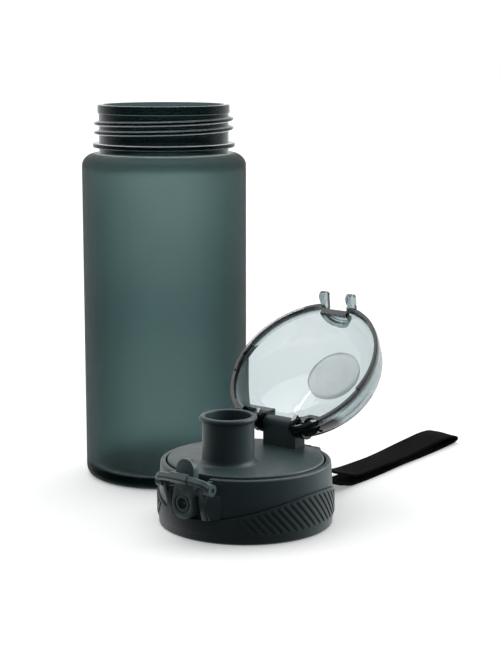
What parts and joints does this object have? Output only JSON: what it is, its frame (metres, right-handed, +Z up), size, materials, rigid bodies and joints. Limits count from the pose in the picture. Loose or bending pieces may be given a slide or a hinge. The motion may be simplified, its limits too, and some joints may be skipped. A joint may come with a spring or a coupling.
{
  "type": "sports bottle with flip-top lid",
  "caption": "Wide-neck sports bottle with its screw lid off beside it: drinking spout, clear flip cover, latch with lock ring, and wrist strap.",
  "frame": {"origin": "centre of the bottle's base, on the surface that it stands on", "axes": "+Z up along the bottle's axis; +X along the lid's hinge; the lid's latch faces -Y and its strap leaves towards +Y"},
  "size_m": [0.151, 0.2123, 0.1669],
  "materials": {
    "frosted_bottle": "frosted translucent slate green plastic",
    "lid_plastic": "fine matte slate grey",
    "grip_plastic": "fine matte slate grey with slanted ribs",
    "latch_plastic": "satin grey green",
    "clear_cover": "clear, faint smoke green",
    "silicone": "translucent whitish silicone",
    "steel": "drawn stainless wire and rod",
    "webbing": "black woven nylon webbing"
  },
  "bodies": {
    "bottle": {"bottle_shell": "frosted_bottle"},
    "lid": {"inner_cap": "lid_plastic", "outer_shell": "lid_plastic", "grip_ring": "grip_plastic", "neck_gasket": "silicone", "hinge_pin": "steel", "hinge_spring": "steel", "latch_pin": "steel", "latch_spring": "steel", "spring_guide": "lid_plastic", "ring_pins": "latch_plastic", "strap_bar": "steel"},
    "cover": {"flip_cover": "clear_cover", "cover_seal": "silicone"},
    "latch": {"latch_tongue": "latch_plastic"},
    "lock": {"lock_ring": "latch_plastic"},
    "strap": {"wrist_strap": "webbing"}
  },
  "joints": [
    {"name": "lid_lift", "type": "slide", "parent": "bottle", "child": "lid", "axis": [0, 0, 1], "range_m": [0, 0.18]},
    {"name": "cover_hinge", "type": "hinge", "parent": "lid", "child": "cover", "pos_m": [0.078, -0.0138, 0.0356], "axis": [1, 0, 0], "range_deg": [0, 138], "stiffness_Nm_per_rad": 0.02, "springref_deg": -22.92},
    {"name": "latch_rock", "type": "hinge", "parent": "lid", "child": "latch", "pos_m": [0.078, -0.076, 0.0195], "axis": [1, 0, 0], "range_deg": [0, 5], "stiffness_Nm_per_rad": 0.05, "springref_deg": -5.73, "deforming": ["latch_spring"]},
    {"name": "ring_swing", "type": "hinge", "parent": "lid", "child": "lock", "pos_m": [0.078, -0.0774, 0.023], "axis": [1, 0, 0], "range_deg": [0, 50]},
    {"name": "strap_swing", "type": "hinge", "parent": "lid", "child": "strap", "pos_m": [0.078, -0.0056, 0.0234], "axis": [1, 0, 0], "range_deg": [0, 30]}
  ]
}
